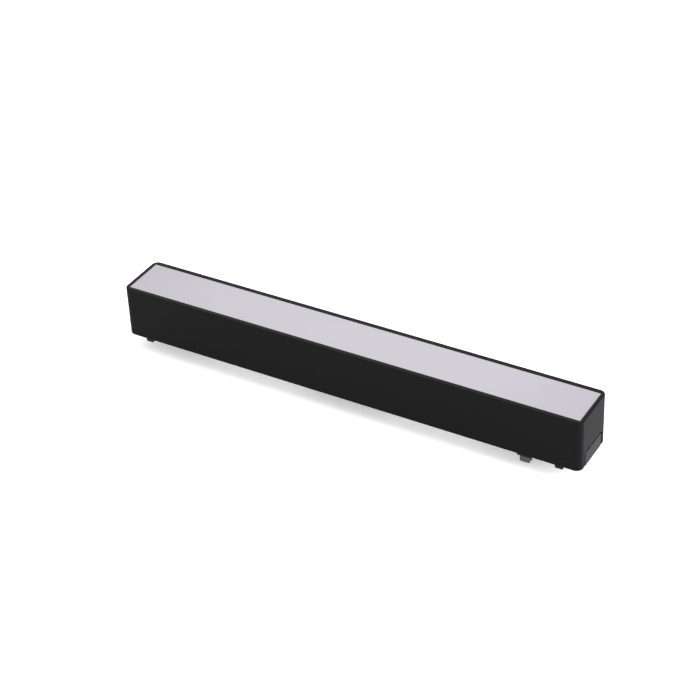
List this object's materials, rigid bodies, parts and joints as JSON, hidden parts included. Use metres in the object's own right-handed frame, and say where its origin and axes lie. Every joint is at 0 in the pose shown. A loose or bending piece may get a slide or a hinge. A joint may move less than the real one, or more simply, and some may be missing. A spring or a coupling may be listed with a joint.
{
  "type": "linear led light bar",
  "caption": "Slim square-section LED light bar with an opal diffuser that clips into a low-voltage track: spring contacts and hook lugs under its back, push tabs in its ends.",
  "frame": {"origin": "middle of the flat back face that lies against the track", "axes": "+X along the light towards the end with the contacts, +Y across it, +Z out of the diffuser"},
  "size_m": [0.22, 0.025, 0.0314],
  "materials": {
    "housing_black": "fine satin black powder coat",
    "opal": "satin opal polycarbonate",
    "latch_black": "finely textured black nylon",
    "tray_black": "finely textured black polycarbonate",
    "contact_nickel": "nickel-plated spring bronze, satin",
    "spring_steel": "bright drawn wire",
    "screw_steel": "zinc-plated",
    "magnet_nickel": "nickel-plated, slightly scuffed",
    "keeper_steel": "rolled",
    "terminal_brass": "stamped, bright",
    "pad_grey": "soft, matte",
    "led_board_white": "white solder mask",
    "led_package": "yellow phosphor in a white frame",
    "circuit_board": "green solder mask",
    "ferrite": "matte",
    "component_black": "moulded",
    "capacitor_can": "drawn can",
    "terminal_housing": "light grey nylon",
    "lead_red": "insulated wire",
    "lead_black": "insulated wire"
  },
  "bodies": {
    "light": {"housing": "housing_black", "end_cap_right": "housing_black", "end_cap_left": "housing_black", "cap_screws": "screw_steel", "diffuser": "opal", "latch_spring_right": "spring_steel", "latch_spring_left": "spring_steel", "base_tray": "tray_black", "base_screws": "screw_steel", "magnets": "magnet_nickel", "keeper_plates": "keeper_steel", "contact_block": "tray_black", "contact_spring_back": "spring_steel", "contact_spring_front": "spring_steel", "contact_terminals": "terminal_brass", "thermal_pad": "pad_grey", "led_board": "led_board_white", "leds": "led_package", "led_board_screws": "screw_steel", "driver_board": "circuit_board", "inductor": "ferrite", "driver_chip": "component_black", "filter_capacitors": "capacitor_can", "rectifier_diodes": "component_black", "input_terminal": "terminal_housing", "output_terminal": "terminal_housing", "lead_positive_in": "lead_red", "lead_negative_in": "lead_black", "lead_positive_led": "lead_red", "lead_negative_led": "lead_black"},
    "latch_right": {"latch_right": "latch_black"},
    "latch_left": {"latch_left": "latch_black"},
    "contact_front": {"contact_blade_front": "contact_nickel"},
    "contact_back": {"contact_blade_back": "contact_nickel"}
  },
  "joints": [
    {"name": "latch_right_slide", "type": "slide", "parent": "light", "child": "latch_right", "axis": [-1, 0, 0], "range_m": [0, 0.0025], "stiffness_N_per_m": 1000, "springref_m": -0.002, "deforming": ["latch_spring_right"]},
    {"name": "latch_left_slide", "type": "slide", "parent": "light", "child": "latch_left", "axis": [1, 0, 0], "range_m": [0, 0.0025], "stiffness_N_per_m": 1000, "springref_m": -0.002, "deforming": ["latch_spring_left"]},
    {"name": "contact_front_slide", "type": "slide", "parent": "light", "child": "contact_front", "axis": [0, 0, 1], "range_m": [0, 0.0018], "stiffness_N_per_m": 800, "springref_m": -0.0005, "deforming": ["contact_spring_front"]},
    {"name": "contact_back_slide", "type": "slide", "parent": "light", "child": "contact_back", "axis": [0, 0, 1], "range_m": [0, 0.0018], "stiffness_N_per_m": 800, "springref_m": -0.0005, "deforming": ["contact_spring_back"]}
  ]
}
